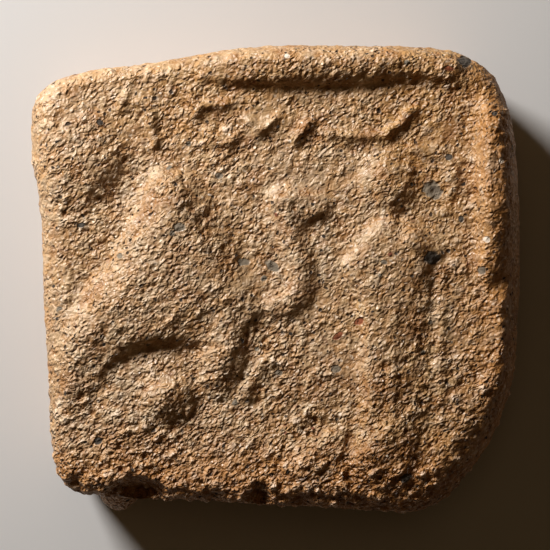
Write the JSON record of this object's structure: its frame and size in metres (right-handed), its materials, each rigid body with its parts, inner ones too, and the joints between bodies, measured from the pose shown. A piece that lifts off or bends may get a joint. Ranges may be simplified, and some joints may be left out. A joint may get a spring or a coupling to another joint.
{
  "type": "moulded terracotta tablet",
  "caption": "Small square fired-clay tablet lying on its back, with a worn camel and a standing figure in low relief under a raised rim.",
  "frame": {"origin": "middle of the flat back, on the surface that the tablet lies on", "axes": "+Z out of the relief face, +Y towards the top edge of the picture, +X towards the picture's right"},
  "size_m": [0.024, 0.0229, 0.0065],
  "materials": {
    "terracotta": "unglazed coarse sandy clay, matt, worn and pitted"
  },
  "bodies": {
    "root": {"tablet": "terracotta"}
  },
  "joints": []
}
